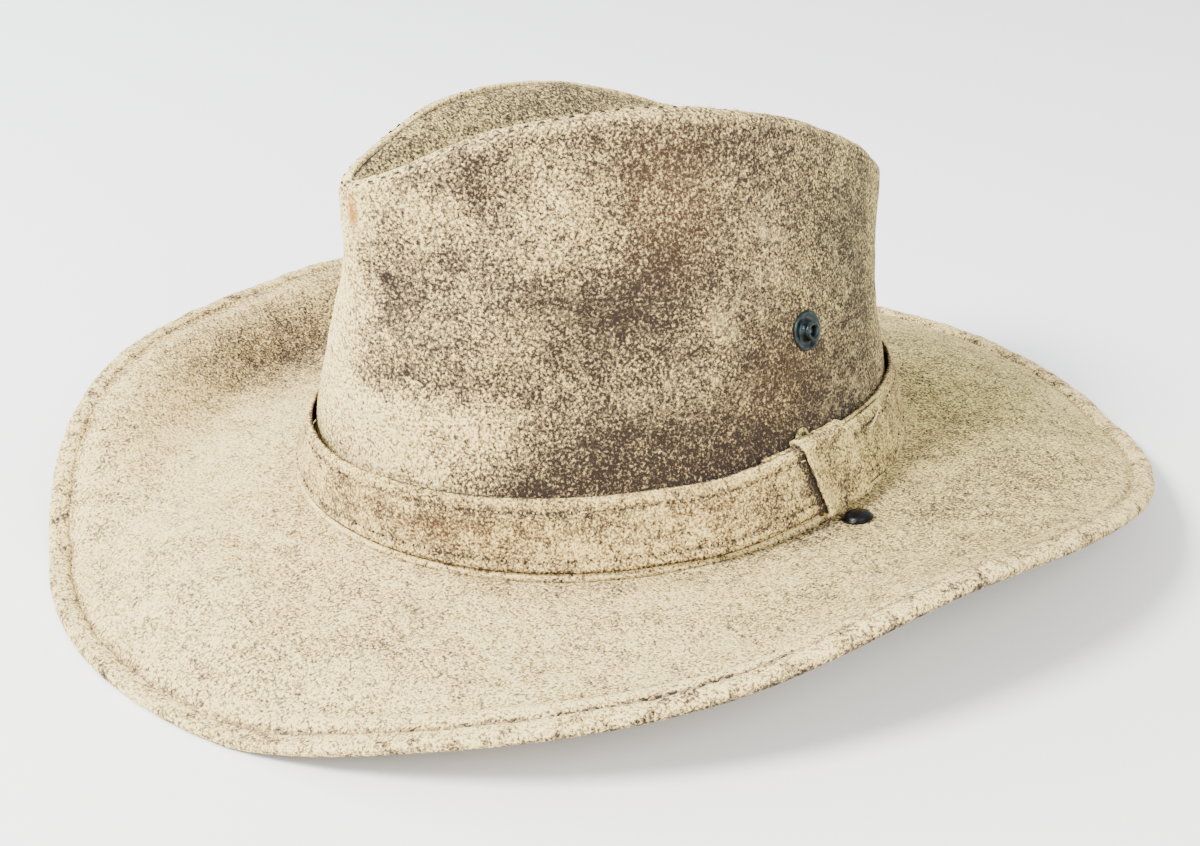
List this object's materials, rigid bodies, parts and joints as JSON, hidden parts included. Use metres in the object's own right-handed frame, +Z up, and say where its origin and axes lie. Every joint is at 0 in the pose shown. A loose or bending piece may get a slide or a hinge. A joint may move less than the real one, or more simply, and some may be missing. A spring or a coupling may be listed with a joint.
{
  "type": "bush hat",
  "caption": "Worn suede bush hat with a tall crown pinched in front and creased along its top, a wide curled brim with a stitched hem, a leather band held by a keeper, and press studs.",
  "frame": {"origin": "Centre of the bounding box in plan, on the floor under the brim's lowest stretches.", "axes": "+Z up from the floor; -Y is the front of the hat; +X is the wearer's left."},
  "size_m": [0.3384, 0.3758, 0.1448],
  "materials": {
    "crown_suede": "brushed nap, rubbed pale on the ridges, soiled in the hollows",
    "brim_suede": "pale flattened nap with scratches and a dirty stitched edge",
    "band_suede": "matt with rust-brown stains and a stitch line along each edge",
    "dark_metal": "oxidised, bare on the raised rim",
    "black_enamel": "glossy black"
  },
  "bodies": {
    "root": {"crown_side": "crown_suede", "crown_tip": "crown_suede", "brim": "brim_suede", "brim_hem": "brim_suede", "hat_band": "band_suede", "band_keeper": "band_suede", "crown_stud": "dark_metal", "brim_snap": "black_enamel"}
  },
  "joints": []
}
